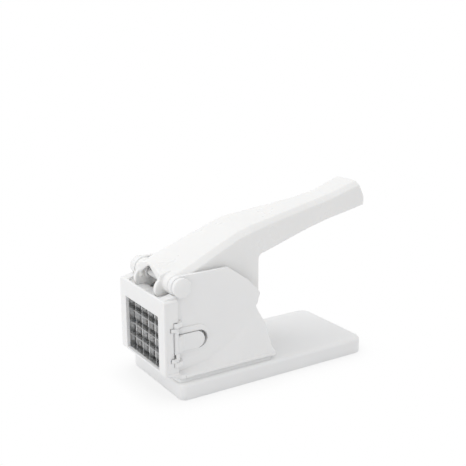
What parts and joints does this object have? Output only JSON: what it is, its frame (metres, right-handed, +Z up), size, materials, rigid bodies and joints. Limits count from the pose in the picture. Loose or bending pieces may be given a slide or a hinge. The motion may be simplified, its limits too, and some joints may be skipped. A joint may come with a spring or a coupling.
{
  "type": "potato cutter",
  "caption": "Hand potato cutter: a lever with a moulded handle presses a studded pusher forward through a square steel blade grid, above a long flat base plate.",
  "frame": {"origin": "on the surface the cutter stands on, under the middle of its overall length and width", "axes": "+Z up, +Y from the cutting frame towards the end of the handle, +X to the cutter's left seen from the front"},
  "size_m": [0.091, 0.225, 0.1556],
  "materials": {
    "housing_plastic": "satin white moulded plastic",
    "lever_plastic": "satin white moulded plastic",
    "trim_plastic": "polished white moulded plastic",
    "washer_plastic": "plain moulded",
    "blade_steel": "ground stainless strip",
    "fastener_steel": "plain turned and drawn steel",
    "foot_rubber": "matte moulded rubber"
  },
  "bodies": {
    "housing": {"base_plate": "housing_plastic", "rubber_foot_front_left": "foot_rubber", "rubber_foot_front_right": "foot_rubber", "rubber_foot_rear_left": "foot_rubber", "rubber_foot_rear_right": "foot_rubber", "chamber_floor": "housing_plastic", "rear_brace": "housing_plastic", "side_wall_left": "housing_plastic", "side_wall_right": "housing_plastic", "housing_screws": "fastener_steel", "cutting_frame": "housing_plastic", "blade_band": "blade_steel", "upright_blade_1": "blade_steel", "upright_blade_2": "blade_steel", "upright_blade_3": "blade_steel", "upright_blade_4": "blade_steel", "level_blade_1": "blade_steel", "level_blade_2": "blade_steel", "level_blade_3": "blade_steel", "pivot_axle": "trim_plastic", "axle_cap": "trim_plastic", "pivot_washer_left": "washer_plastic", "pivot_washer_right": "washer_plastic", "latch_pin_left": "fastener_steel", "latch_pin_right": "fastener_steel", "latch_spring_left": "fastener_steel", "latch_spring_right": "fastener_steel"},
    "lever": {"lever": "lever_plastic", "pusher_plate": "lever_plastic", "pusher_screws": "fastener_steel"},
    "latch_right": {"latch_tab_right": "trim_plastic"},
    "latch_left": {"latch_tab_left": "trim_plastic"}
  },
  "joints": [
    {"name": "lever_pivot", "type": "hinge", "parent": "housing", "child": "lever", "pos_m": [0, -0.0946, 0.0941], "axis": [1, 0, 0], "range_deg": [0, 70]},
    {"name": "latch_right_rock", "type": "hinge", "parent": "housing", "child": "latch_right", "pos_m": [0.0402, -0.1016, 0.048], "axis": [0, 0, 1], "range_deg": [0, 9], "stiffness_Nm_per_rad": 0.02, "springref_deg": -5.73},
    {"name": "latch_left_rock", "type": "hinge", "parent": "housing", "child": "latch_left", "pos_m": [-0.0402, -0.1016, 0.048], "axis": [0, 0, -1], "range_deg": [0, 9], "stiffness_Nm_per_rad": 0.02, "springref_deg": -5.73}
  ]
}
